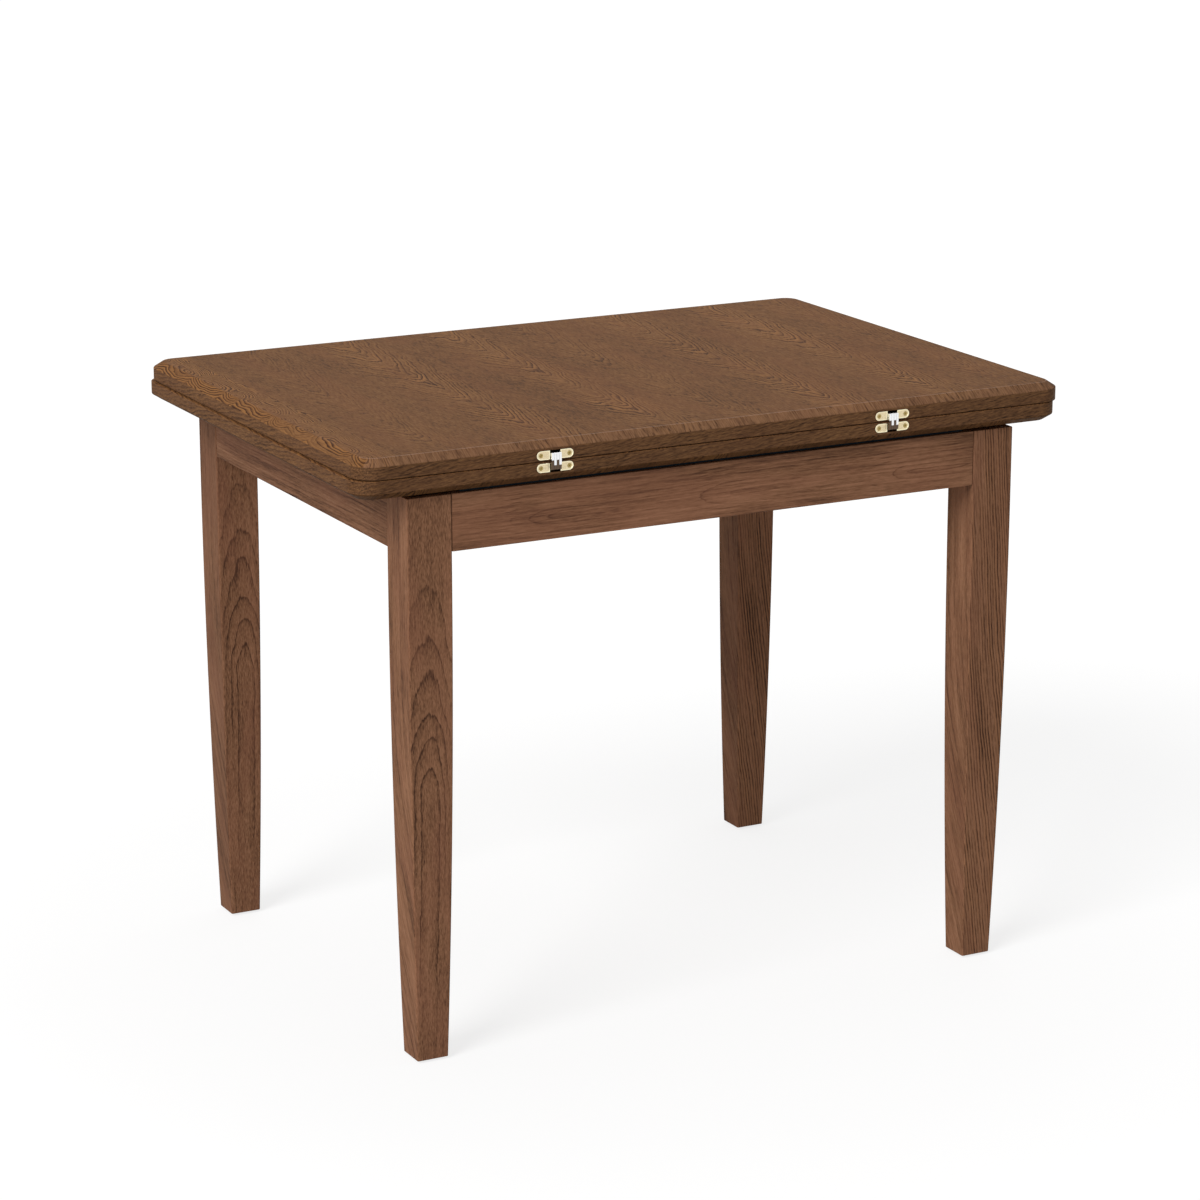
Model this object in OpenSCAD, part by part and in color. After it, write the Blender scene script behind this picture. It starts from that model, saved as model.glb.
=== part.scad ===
// Flip top dining table: four tapered legs, four aprons, two hinged leaves,
// and a carriage under the lower leaf that slides the top to the middle.
// Units are millimetres. +Z is up, +X runs along the hinge edge.
// The floor is Z = 0 and the origin is under the middle of the folded top.
// The hinge edge is the front, at the smallest Y.

/* [Whole table] */
// height of the folded table
table_height = 750; // [720:1:780]
// length of each leaf along the hinge edge
leaf_length = 961; // [940:1:1000]
// depth of each leaf across the hinge edge
leaf_depth = 666; // [650:1:690]
// sideways step between the two leaves
leaf_step = 3.5; // [0:0.5:4]

/* [Leaves] */
// thickness of each leaf
leaf_thickness = 24.3; // [24:0.1:28]
// height of the bevel on the outer face
bevel_height = 7.7; // [5:0.1:9]
// width of the bevel on the outer face
bevel_width = 12.2; // [8:0.1:14]
// corner radius of the leaves in plan
corner_radius = 30; // [24:1:45]

/* [Frame] */
// how far the top reaches past the legs at each end
end_overhang = 66; // [60:1:74]
// how far the top reaches past the legs at the front and back
side_overhang = 12.8; // [12.4:0.2:20]
// leg width at the top
leg_size = 57; // [54:0.5:62]
// how far each leg face steps in at the floor
foot_inset = 8.3; // [4:0.1:10]
// height of the aprons
apron_height = 68.8; // [66:0.1:74]
// thickness of the aprons
apron_thickness = 22; // [20:0.5:24]
// how far the apron faces sit behind the leg faces
apron_recess = 0.7; // [0.2:0.1:2]
// gap between the frame and the lower leaf
slide_gap = 4; // [3:0.1:5]

/* [Hinges] */
// distance between the two hinge centres
hinge_spacing = 460; // [400:1:520]
// length of each hinge plate
plate_length = 48; // [46:0.5:56]
// height of each hinge plate
plate_height = 11; // [10.6:0.1:11.4]
// thickness of each hinge plate
plate_thickness = 2.5; // [2:0.1:3]
// distance from the seam to the middle of each plate
plate_offset = 7.5; // [7.4:0.1:7.7]
// distance between the two screws of a plate
screw_spacing = 37; // [36:0.5:38]

/* [Slide] */
// depth of the stop at each end of the slide
stop_depth = 11; // [6:0.5:20]
// thickness of the carriage board
carriage_thickness = 12; // [10:0.5:14]
// distance between the two guide rails, centre to centre
rail_spacing = 490; // [440:1:520]
// width of each guide rail
rail_width = 30; // [28:0.5:36]
// height of each guide rail
rail_height = 44; // [40:1:48]
// depth of the groove in each guide rail
groove_depth = 10; // [8:0.5:12]

/* [Part to draw] */
// which piece to draw

/* [Hidden] */
$fn = 48;

wood_dark = [0.42, 0.27, 0.18];
wood_mid = [0.50, 0.34, 0.22];
wood_pale = [0.72, 0.58, 0.40];
brass = [0.88, 0.78, 0.52];
brass_dark = [0.62, 0.48, 0.28];
steel = [0.72, 0.72, 0.73];
felt_black = [0.08, 0.09, 0.11];
rubber_black = [0.06, 0.06, 0.06];

// clearances between pieces
glue_gap = 0.05;
bore_gap = 0.05;
bore_end = 2;
flat_gap = 0.2;
seam_gap = 0.3;
past = 1;

// main levels
leaf_half_x = leaf_length / 2;
leaf_half_y = leaf_depth / 2;
seam_z = table_height - leaf_thickness;
leaf_bottom = seam_z - leaf_thickness;
frame_top = leaf_bottom - slide_gap;
apron_bottom = frame_top - apron_height;
fold_y = -leaf_half_y;
slide_travel = leaf_half_y;

// leg frame in plan
frame_x = leaf_half_x - end_overhang;
frame_y = leaf_half_y - side_overhang;
leg_x = frame_x - leg_size / 2;
leg_y = frame_y - leg_size / 2;
leg_in_x = frame_x - leg_size;
leg_in_y = frame_y - leg_size;
apron_out_x = frame_x - apron_recess;
apron_out_y = frame_y - apron_recess;
apron_in_x = apron_out_x - apron_thickness;
apron_in_y = apron_out_y - apron_thickness;

// legs
glide_height = 3;
glide_radius = 11;
glide_edge = 1.5;
glide_stem_radius = 2;
glide_stem_length = 12;
taper_start = 26;
taper_top = apron_bottom - taper_start;
taper_steps = 9;

function taper_z(i) = glide_height + (taper_top - glide_height) * i / taper_steps;
function taper_in(z) = foot_inset * pow((taper_top - z) / (taper_top - glide_height), 2);

// apron tenons
tenon_thickness = 10;
tenon_length = 24;
tenon_shoulder = 10;
tenon_height = apron_height - 2 * tenon_shoulder;
tenon_z = frame_top - apron_height / 2;

// corner blocks
block_height = 48;
block_z = frame_top - apron_height / 2;
block_reach = 57;
block_relief = glue_gap;
bolt_radius = 4;
bolt_in_leg = 30;
bolt_out = 16;
washer_radius = 9;
washer_thickness = 1.6;
nut_across = 13;
nut_height = 6.5;
block_screw_back = 22;
block_screw_radius = 2;
block_screw_head_radius = 4;
block_screw_head_height = 2.4;
block_screw_in = 12;
block_screw_grip = 17;
block_screw_well = 4.6;
block_screw_z = 12;
// distance from the leg corner back to the flat diagonal face of a block
block_depth = (block_reach - (apron_in_x - leg_in_x)) / sqrt(2) + block_relief * sqrt(2);

// slide
stop_pad = 3;
stop_reach = stop_depth + stop_pad + flat_gap;
carriage_front = -apron_in_y + stop_reach;
carriage_length = 2 * apron_in_y - 2 * stop_reach - slide_travel;
carriage_back = carriage_front + carriage_length;
carriage_drop = 33;
carriage_z = frame_top - carriage_drop;
carriage_top = carriage_z + carriage_thickness;
rail_x = rail_spacing / 2;
rail_in_x = rail_x - rail_width / 2;
groove_end_x = rail_in_x + groove_depth;
carriage_side_gap = 0.3;
carriage_half_x = groove_end_x - carriage_side_gap;
rail_z = carriage_z + carriage_thickness / 2 - rail_height / 2;
rail_housing = 6;
cleat_x = 150;
cleat_width = 44;
stop_width = 120;
stop_height = 30;
stop_z = carriage_z + carriage_thickness / 2 - stop_height / 2;
stop_pad_margin = 6;
leaf_screw_radius = 2.5;
leaf_screw_head_radius = 5;
leaf_screw_head_height = 3;
leaf_screw_in = 13;
leaf_screw_end = 32;
leaf_screw_length = leaf_bottom + leaf_screw_in - carriage_z;

// felt
felt_thickness = slide_gap - flat_gap;
felt_width = 12;
felt_set_back = 5;
felt_end = 14;

// hinges
hinge_x = hinge_spacing / 2;
end_radius = plate_height / 2;
hinge_screw_radius = 1.4;
hinge_screw_head_radius = 2.5;
hinge_screw_head_height = 1.6;
hinge_screw_length = 13;
cup_opening = 13.6;
cup_wall = 2.75;
cup_half = cup_opening / 2 + cup_wall;
cup_depth = 21;
cup_back = 2;
cup_total = cup_depth + cup_back;
pocket_slack = 0.1;
pocket_far_slack = 0.3;
pocket_low = plate_offset - plate_height / 2 - pocket_slack;
pocket_high = plate_offset + plate_height / 2 + pocket_far_slack;
plate_front = seam_gap / 2 + glue_gap;
pin_y = 4.8;
pin_z = 4.6;
pin_radius = 1;
link_thickness = 3.2;
link_pitch = 3.3;
link_eye = 1.8;
link_knee_y = -1.6;
link_knee_radius = 1.9;
link_arm_y = 0.6;
link_arm_z = 6.6;
link_bar_in = -0.9;

// place a piece drawn in the back right quarter into another quarter
module in_corner(sx, sy) {
    mirror([sx < 0 ? 1 : 0, 0, 0]) mirror([0, sy < 0 ? 1 : 0, 0]) children();
}

// run along the diagonal of the back right corner, pointing at the leg
module on_diagonal(z) {
    translate([leg_in_x, leg_in_y, z]) rotate([0, 0, 45]) rotate([0, 90, 0]) children();
}

// one side view of a leg: straight at the apron, curving in to the foot
module leg_outline() {
    half = leg_size / 2;
    right = [for (i = [0:taper_steps]) [half - taper_in(taper_z(i)), taper_z(i)]];
    left = [for (i = [taper_steps:-1:0]) [-half + taper_in(taper_z(i)), taper_z(i)]];
    polygon(concat(right, [[half, frame_top], [-half, frame_top]], left));
}

module leg_blank() {
    intersection() {
        rotate([90, 0, 0]) linear_extrude(leg_size + past, center = true) leg_outline();
        rotate([90, 0, 90]) linear_extrude(leg_size + past, center = true) leg_outline();
    }
}

// both tenons of one corner, in the back right quarter
module corner_tenons(gap) {
    back_y = apron_out_y - apron_thickness / 2;
    side_x = apron_out_x - apron_thickness / 2;
    t = tenon_thickness + 2 * gap;
    h = tenon_height + 2 * gap;
    reach = tenon_length + gap;
    translate([leg_in_x - gap, back_y - t / 2, tenon_z - h / 2]) cube([reach + gap, t, h]);
    translate([side_x - t / 2, leg_in_y - gap, tenon_z - h / 2]) cube([t, reach + gap, h]);
}

module leg(sx, sy) {
    color(wood_mid) in_corner(sx, sy) difference() {
        translate([leg_x, leg_y, 0]) leg_blank();
        corner_tenons(glue_gap);
        on_diagonal(block_z) translate([0, 0, -past]) cylinder(
            h = bolt_in_leg + past + bore_end, r = bolt_radius + bore_gap);
        translate([leg_x, leg_y, 0]) cylinder(
            h = glide_height + glide_stem_length + bore_end, r = glide_stem_radius + bore_gap);
    }
}

// holes for the block screws in the back right quarter
module block_screw_spots() {
    for (dz = [-block_screw_z, block_screw_z]) {
        translate([leg_in_x - block_screw_back, apron_in_y, block_z + dz])
            rotate([-90, 0, 0]) children();
    }
    for (dz = [-block_screw_z / 2, block_screw_z / 2]) {
        translate([apron_in_x, leg_in_y - block_screw_back, block_z + dz])
            rotate([0, 90, 0]) children();
    }
}

module block_screw_bores() {
    block_screw_spots() {
        translate([0, 0, -block_screw_grip]) cylinder(
            h = block_screw_grip + block_screw_in + bore_end, r = block_screw_radius + bore_gap);
    }
}

module block_screw_wells() {
    block_screw_spots() {
        translate([0, 0, -block_screw_grip - block_reach])
            cylinder(h = block_reach, r = block_screw_well);
        translate([0, 0, -block_screw_grip - 0.01]) cylinder(
            h = block_screw_head_height,
            r1 = block_screw_head_radius + bore_gap,
            r2 = block_screw_radius + bore_gap);
    }
}

module long_apron(sy) {
    body = 2 * leg_in_x - 2 * glue_gap;
    full = 2 * (leg_in_x + tenon_length);
    color(wood_dark) in_corner(1, sy) difference() {
        union() {
            translate([-body / 2, apron_in_y, apron_bottom])
                cube([body, apron_thickness, apron_height]);
            translate([-full / 2, apron_out_y - apron_thickness / 2 - tenon_thickness / 2,
                tenon_z - tenon_height / 2])
                cube([full, tenon_thickness, tenon_height]);
        }
        for (side = [-1, 1]) {
            translate([side * rail_x - rail_width / 2 - glue_gap, apron_in_y - past,
                rail_z - glue_gap])
                cube([rail_width + 2 * glue_gap, rail_housing + past, rail_height + 2 * glue_gap]);
            in_corner(side, 1) block_screw_bores();
        }
    }
}

module side_apron(sx) {
    body = 2 * leg_in_y - 2 * glue_gap;
    full = 2 * (leg_in_y + tenon_length);
    color(wood_dark) in_corner(sx, 1) difference() {
        union() {
            translate([apron_in_x, -body / 2, apron_bottom])
                cube([apron_thickness, body, apron_height]);
            translate([apron_out_x - apron_thickness / 2 - tenon_thickness / 2, -full / 2,
                tenon_z - tenon_height / 2])
                cube([tenon_thickness, full, tenon_height]);
        }
        for (side = [-1, 1]) in_corner(1, side) block_screw_bores();
    }
}

module corner_block(sx, sy) {
    ax = apron_in_x - block_relief;
    ay = apron_in_y - block_relief;
    lx = leg_in_x - block_relief;
    ly = leg_in_y - block_relief;
    color(wood_pale) in_corner(sx, sy) difference() {
        translate([0, 0, block_z - block_height / 2]) linear_extrude(block_height) polygon([
            [lx - block_reach, ay],
            [lx, ay],
            [lx, ly],
            [ax, ly],
            [ax, ly - block_reach]
        ]);
        on_diagonal(block_z) translate([0, 0, -block_reach]) cylinder(
            h = block_reach + 2 * bolt_radius, r = bolt_radius + bore_gap);
        block_screw_bores();
        block_screw_wells();
    }
}

module all_corners() {
    for (sx = [-1, 1]) for (sy = [-1, 1]) in_corner(sx, sy) children();
}

module block_bolts() {
    color(steel) all_corners() on_diagonal(block_z)
        translate([0, 0, -block_depth - bolt_out])
            cylinder(h = block_depth + bolt_out + bolt_in_leg, r = bolt_radius);
}

module block_washers() {
    color(steel) all_corners() on_diagonal(block_z)
        translate([0, 0, -block_depth - washer_thickness]) difference() {
            cylinder(h = washer_thickness, r = washer_radius);
            translate([0, 0, -past]) cylinder(
                h = washer_thickness + 2 * past, r = bolt_radius + bore_gap);
        }
}

module block_nuts() {
    color(steel) all_corners() on_diagonal(block_z)
        translate([0, 0, -block_depth - washer_thickness - nut_height]) difference() {
            cylinder(h = nut_height, r = nut_across / sqrt(3), $fn = 6);
            translate([0, 0, -past]) cylinder(
                h = nut_height + 2 * past, r = bolt_radius + bore_gap);
        }
}

module block_screws() {
    color(steel) all_corners() block_screw_spots() translate([0, 0, -block_screw_grip]) union() {
        cylinder(h = block_screw_grip + block_screw_in, r = block_screw_radius);
        cylinder(h = block_screw_head_height - bore_gap, r1 = block_screw_head_radius,
            r2 = block_screw_radius);
    }
}

module foot_glides() {
    color(rubber_black) all_corners() translate([leg_x, leg_y, 0]) union() {
        cylinder(h = glide_height / 2, r1 = glide_radius - glide_edge, r2 = glide_radius);
        translate([0, 0, glide_height / 2]) cylinder(h = glide_height / 2, r = glide_radius);
        translate([0, 0, glide_height / 2])
            cylinder(h = glide_height / 2 + glide_stem_length, r = glide_stem_radius);
    }
}

module guide_rail(sx) {
    half = apron_in_y + rail_housing - glue_gap;
    slot = carriage_thickness + 2 * flat_gap;
    color(wood_pale) in_corner(sx, 1) difference() {
        translate([rail_in_x, -half, rail_z]) cube([rail_width, 2 * half, rail_height]);
        translate([rail_in_x - past, -half - past, carriage_z - flat_gap])
            cube([groove_depth + past, 2 * half + 2 * past, slot]);
    }
}

module stop_front() {
    color(wood_pale) translate([-stop_width / 2, -apron_in_y, stop_z])
        cube([stop_width, stop_depth, stop_height]);
}

module stop_back() {
    color(wood_pale) translate([-stop_width / 2, apron_in_y - stop_depth, stop_z])
        cube([stop_width, stop_depth, stop_height]);
}

module stop_pads() {
    pad_width = stop_width - 2 * stop_pad_margin;
    pad_height = stop_height - 2 * stop_pad_margin;
    color(rubber_black) for (sy = [-1, 1]) in_corner(1, sy)
        translate([-pad_width / 2, apron_in_y - stop_depth - stop_pad, stop_z + stop_pad_margin])
            cube([pad_width, stop_pad, pad_height]);
}

module long_felt(sy) {
    color(felt_black) in_corner(1, sy)
        translate([-leg_in_x + felt_end, apron_out_y - felt_set_back - felt_width, frame_top])
            cube([2 * (leg_in_x - felt_end), felt_width, felt_thickness]);
}

module side_felt(sx) {
    color(felt_black) in_corner(sx, 1)
        translate([apron_out_x - felt_set_back - felt_width, -leg_in_y + felt_end, frame_top])
            cube([felt_width, 2 * (leg_in_y - felt_end), felt_thickness]);
}

// leaf with its mating face at Z = 0, its body above, and the bevel at the top
module leaf_blank() {
    band = leaf_thickness - bevel_height;
    run_x = leaf_length - 2 * corner_radius;
    run_y = leaf_depth - 2 * corner_radius;
    slope_x = [
        [-leaf_half_x, 0], [leaf_half_x, 0], [leaf_half_x, band],
        [leaf_half_x - bevel_width, leaf_thickness],
        [-leaf_half_x + bevel_width, leaf_thickness], [-leaf_half_x, band]
    ];
    slope_y = [
        [-leaf_half_y, 0], [leaf_half_y, 0], [leaf_half_y, band],
        [leaf_half_y - bevel_width, leaf_thickness],
        [-leaf_half_y + bevel_width, leaf_thickness], [-leaf_half_y, band]
    ];
    union() {
        rotate([90, 0, 0]) linear_extrude(run_y, center = true) polygon(slope_x);
        rotate([90, 0, 90]) linear_extrude(run_x, center = true) polygon(slope_y);
        for (sx = [-1, 1]) for (sy = [-1, 1]) translate([sx * run_x / 2, sy * run_y / 2, 0]) {
            cylinder(h = band, r = corner_radius, $fn = 96);
            translate([0, 0, band]) cylinder(h = bevel_height, r1 = corner_radius,
                r2 = corner_radius - bevel_width, $fn = 96);
        }
    }
}

// hinge seat for a leaf whose body is above Z = 0, hinge edge at Y = 0
module hinge_seat() {
    fit = glue_gap;
    middle = screw_spacing / 2;
    for (side = [-1, 1]) {
        translate([side * (plate_length / 2 - end_radius), -past, plate_offset])
            rotate([-90, 0, 0]) cylinder(h = plate_thickness + past, r = end_radius + fit);
        translate([side * middle, 0, plate_offset]) rotate([-90, 0, 0])
            cylinder(h = hinge_screw_length + bore_end, r = hinge_screw_radius + bore_gap);
    }
    translate([-plate_length / 2 + end_radius, -past, plate_offset - end_radius - fit])
        cube([plate_length - 2 * end_radius, plate_thickness + past, 2 * (end_radius + fit)]);
    translate([-cup_half - fit, -past, pocket_low])
        cube([2 * (cup_half + fit), cup_total + past + pocket_slack, pocket_high - pocket_low]);
}

// brass cup: a long plate on the edge, two cheeks and a back
module hinge_cup() {
    span = plate_length - 2 * end_radius;
    difference() {
        union() {
            translate([-span / 2, plate_front, plate_offset - end_radius])
                cube([span, plate_thickness - plate_front, plate_height]);
            for (side = [-1, 1]) {
                translate([side * span / 2, plate_front, plate_offset]) rotate([-90, 0, 0])
                    cylinder(h = plate_thickness - plate_front, r = end_radius);
            }
            translate([-cup_half, plate_front, plate_offset - end_radius])
                cube([2 * cup_half, cup_total - plate_front, plate_height]);
        }
        translate([-cup_opening / 2, -past, plate_offset - end_radius - past])
            cube([cup_opening, cup_depth + past, plate_height + 2 * past]);
        for (side = [-1, 1]) {
            translate([side * screw_spacing / 2, -past, plate_offset]) rotate([-90, 0, 0])
                cylinder(h = plate_thickness + 2 * past, r = hinge_screw_radius + bore_gap);
            translate([side * screw_spacing / 2, plate_front, plate_offset]) rotate([-90, 0, 0])
                cylinder(h = hinge_screw_head_height, r1 = hinge_screw_head_radius + bore_gap,
                    r2 = hinge_screw_radius + bore_gap);
        }
        translate([-cup_half - past, pin_y, pin_z]) rotate([0, 90, 0])
            cylinder(h = 2 * (cup_half + past), r = pin_radius + bore_gap);
    }
}

module hinge_screw() {
    rotate([-90, 0, 0]) translate([0, 0, plate_front]) union() {
        cylinder(h = hinge_screw_length - plate_front, r = hinge_screw_radius);
        cylinder(h = hinge_screw_head_height, r1 = hinge_screw_head_radius,
            r2 = hinge_screw_radius);
    }
}

module hinge_screw_pairs() {
    for (x = [-hinge_x, hinge_x]) for (side = [-1, 1])
        translate([x + side * screw_spacing / 2, 0, plate_offset]) hinge_screw();
}

module hinge_pins() {
    for (x = [-hinge_x, hinge_x]) translate([x - cup_half, pin_y, pin_z]) rotate([0, 90, 0])
        cylinder(h = 2 * cup_half, r = pin_radius);
}

// side view of one hooked link, pinned in the leaf above Z = 0
module link_outline() {
    difference() {
        union() {
            translate([pin_y, pin_z]) circle(link_eye);
            translate([link_knee_y, pin_z]) circle(link_knee_radius);
            translate([link_knee_y, pin_z - link_eye]) square([pin_y - link_knee_y, 2 * link_eye]);
            translate([link_knee_y - link_knee_radius, -link_arm_z])
                square([link_bar_in - link_knee_y + link_knee_radius, link_arm_z + pin_z]);
            translate([link_knee_y, -link_arm_z]) circle(link_knee_radius);
            translate([link_knee_y, -link_arm_z - link_eye])
                square([link_arm_y - link_knee_y, 2 * link_eye]);
            translate([link_arm_y, -link_arm_z]) circle(link_eye);
        }
        translate([pin_y, pin_z]) circle(pin_radius + bore_gap);
    }
}

module link_plate() {
    rotate([90, 0, 90]) linear_extrude(link_thickness, center = true) link_outline();
}

// two of the four link plates of one hinge, each pack holding every other one
module link_pack(first) {
    for (i = [0, 2]) translate([(first + i - 1.5) * link_pitch, 0, 0]) link_plate();
}

// frames that carry a drawing onto the upper or the lower leaf
module on_upper() {
    translate([0, fold_y, seam_z]) children();
}

module on_lower() {
    translate([0, fold_y, seam_z]) mirror([0, 0, 1]) children();
}

module leaf_screw_spots() {
    front = carriage_front + leaf_screw_end;
    back = carriage_back - leaf_screw_end;
    for (x = [-cleat_x, cleat_x]) for (y = [front, (front + back) / 2, back])
        translate([x, y, carriage_z]) children();
}

module leaf_screw_bores() {
    leaf_screw_spots() {
        translate([0, 0, -past]) cylinder(h = leaf_screw_length + past + bore_end,
            r = leaf_screw_radius + bore_gap);
        translate([0, 0, -0.01]) cylinder(h = leaf_screw_head_height,
            r1 = leaf_screw_head_radius + bore_gap, r2 = leaf_screw_radius + bore_gap);
    }
}

module lower_leaf() {
    color(wood_mid) difference() {
        translate([-leaf_step / 2, 0, seam_z - seam_gap / 2]) mirror([0, 0, 1])
            leaf_blank_thin();
        for (x = [-hinge_x, hinge_x]) on_lower() translate([x, 0, 0]) hinge_seat();
        leaf_screw_bores();
    }
}

module upper_leaf() {
    color(wood_mid) difference() {
        translate([leaf_step / 2, 0, seam_z + seam_gap / 2]) leaf_blank_thin();
        for (x = [-hinge_x, hinge_x]) on_upper() translate([x, 0, 0]) hinge_seat();
    }
}

// the seam gap is taken off the mating face, so the outer faces keep their levels
module leaf_blank_thin() {
    difference() {
        translate([0, 0, -seam_gap / 2]) leaf_blank();
        translate([-leaf_length, -leaf_depth, -leaf_thickness])
            cube([2 * leaf_length, 2 * leaf_depth, leaf_thickness]);
        translate([-leaf_length, -leaf_half_y - past, -past])
            cube([2 * leaf_length, past + seam_gap / 2, leaf_thickness + 2 * past]);
    }
}

module carriage_board() {
    color(wood_pale) difference() {
        translate([-carriage_half_x, carriage_front, carriage_z])
            cube([2 * carriage_half_x, carriage_length, carriage_thickness]);
        leaf_screw_bores();
    }
}

module cleat(sx) {
    color(wood_pale) difference() {
        translate([sx * cleat_x - cleat_width / 2, carriage_front, carriage_top])
            cube([cleat_width, carriage_length, leaf_bottom - carriage_top]);
        leaf_screw_bores();
    }
}

module carriage_screws() {
    color(steel) leaf_screw_spots() union() {
        cylinder(h = leaf_screw_length, r = leaf_screw_radius);
        cylinder(h = leaf_screw_head_height - bore_gap, r1 = leaf_screw_head_radius,
            r2 = leaf_screw_radius);
    }
}

module cup_upper(sx) {
    color(brass) on_upper() translate([sx * hinge_x, 0, 0]) hinge_cup();
}

module cup_lower(sx) {
    color(brass) on_lower() translate([sx * hinge_x, 0, 0]) hinge_cup();
}

module link_upper(sx) {
    color(steel) on_upper() translate([sx * hinge_x, 0, 0]) link_pack(1);
}

module link_lower(sx) {
    color(steel) on_lower() translate([sx * hinge_x, 0, 0]) link_pack(0);
}

leg(-1, -1);  // leg_front_left
leg(1, -1);  // leg_front_right
leg(-1, 1);  // leg_back_left
leg(1, 1);  // leg_back_right
long_apron(-1);  // apron_front
long_apron(1);  // apron_back
side_apron(-1);  // apron_left
side_apron(1);  // apron_right
corner_block(-1, -1);  // block_front_left
corner_block(1, -1);  // block_front_right
corner_block(-1, 1);  // block_back_left
corner_block(1, 1);  // block_back_right
block_bolts();
block_washers();
block_nuts();
block_screws();
foot_glides();
guide_rail(-1);  // rail_left
guide_rail(1);  // rail_right
stop_front();
stop_back();
stop_pads();
long_felt(-1);  // felt_front
long_felt(1);  // felt_back
side_felt(-1);  // felt_left
side_felt(1);  // felt_right
lower_leaf();
carriage_board();
cleat(-1);  // cleat_left
cleat(1);  // cleat_right
carriage_screws();
cup_lower(-1);  // cup_left_lower
cup_lower(1);  // cup_right_lower
color(brass_dark) on_lower() hinge_screw_pairs();  // hinge_screws_lower
color(steel) on_lower() hinge_pins();  // hinge_pins_lower
upper_leaf();
cup_upper(-1);  // cup_left_upper
cup_upper(1);  // cup_right_upper
color(brass_dark) on_upper() hinge_screw_pairs();  // hinge_screws_upper
color(steel) on_upper() hinge_pins();  // hinge_pins_upper
link_lower(-1);  // link_left_lower
link_lower(1);  // link_right_lower
link_upper(-1);  // link_left_upper
link_upper(1);  // link_right_upper
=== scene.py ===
"""Flip top dining table: the dressed model. Metres, +Z up, hinge edge at the smallest Y."""

import math
from functools import reduce

import bmesh
import bpy
from mathutils import Matrix, Vector


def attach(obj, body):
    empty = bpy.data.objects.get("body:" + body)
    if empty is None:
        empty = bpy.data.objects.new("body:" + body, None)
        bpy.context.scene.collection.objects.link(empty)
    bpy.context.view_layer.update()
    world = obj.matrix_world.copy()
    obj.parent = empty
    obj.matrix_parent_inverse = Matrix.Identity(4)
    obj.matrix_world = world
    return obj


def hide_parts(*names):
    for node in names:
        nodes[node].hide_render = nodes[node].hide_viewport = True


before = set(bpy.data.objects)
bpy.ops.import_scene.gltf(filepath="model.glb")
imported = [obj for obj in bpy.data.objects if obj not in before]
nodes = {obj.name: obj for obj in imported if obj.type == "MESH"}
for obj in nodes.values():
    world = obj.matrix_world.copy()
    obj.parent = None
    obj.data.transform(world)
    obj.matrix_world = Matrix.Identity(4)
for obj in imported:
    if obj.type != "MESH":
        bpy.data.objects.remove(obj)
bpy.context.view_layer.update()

MM = 0.001

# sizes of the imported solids, in metres
LEAF_X = 480.5 * MM
LEAF_Y = 333 * MM
LEAF_STEP = 3.5 * MM
LEAF_T = 24.3 * MM
BEVEL_H = 7.7 * MM
BEVEL_W = 12.2 * MM
CORNER_R = 30 * MM
TOP_Z = 750 * MM
SEAM_Z = TOP_Z - LEAF_T
FOLD_Y = -LEAF_Y
FRAME_X = 414.5 * MM
FRAME_Y = 320.2 * MM
FRAME_TOP = 697.4 * MM
LEG = 57 * MM
FOOT_INSET = 8.3 * MM
GLIDE = 3 * MM
APRON_H = 68.8 * MM
APRON_T = 22 * MM
APRON_RECESS = 0.7 * MM
TAPER_TOP = FRAME_TOP - APRON_H - 26 * MM
TENON_T = 10 * MM
TENON_L = 24 * MM
TENON_H = APRON_H - 20 * MM
HINGE_X = 230 * MM
PLATE_L = 48 * MM
PLATE_H = 11 * MM
PLATE_T = 2.5 * MM
PLATE_Z = 7.5 * MM
SCREW_X = 18.5 * MM
CUP_OPEN = 13.6 * MM
CUP_WALL = 2.75 * MM
CUP_DEPTH = 21 * MM
CUP_BACK = 2 * MM
PIN_Y = 4.8 * MM
PIN_Z = 4.6 * MM
LINK_PITCH = 3.3 * MM

# fine gaps of the dressed model: between the folded leaves, between their front edges when the
# top is open, and between an apron and a leg
SEAM_GAP = 1.0 * MM
JOINT = 0.5 * MM
APRON_JOINT = 0.45 * MM

# radii of its rounded edges
LEG_ROUND = 1.8 * MM
LEG_END_ROUND = 0.8 * MM
APRON_ROUND = 0.9 * MM
MATE_ROUND = 0.7 * MM
BAND_ROUND = 2.0 * MM
ARRIS_ROUND = 3.0 * MM
CUP_ROUND = 0.2 * MM
LINK_ROUND = 0.22 * MM


def rgb(r, g, b):
    """The linear colour of an 8-bit display colour."""
    out = []
    for v in (r, g, b):
        c = v / 255
        out.append(c / 12.92 if c <= 0.04045 else ((c + 0.055) / 1.055) ** 2.4)
    return (*out, 1.0)


# Materials


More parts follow.
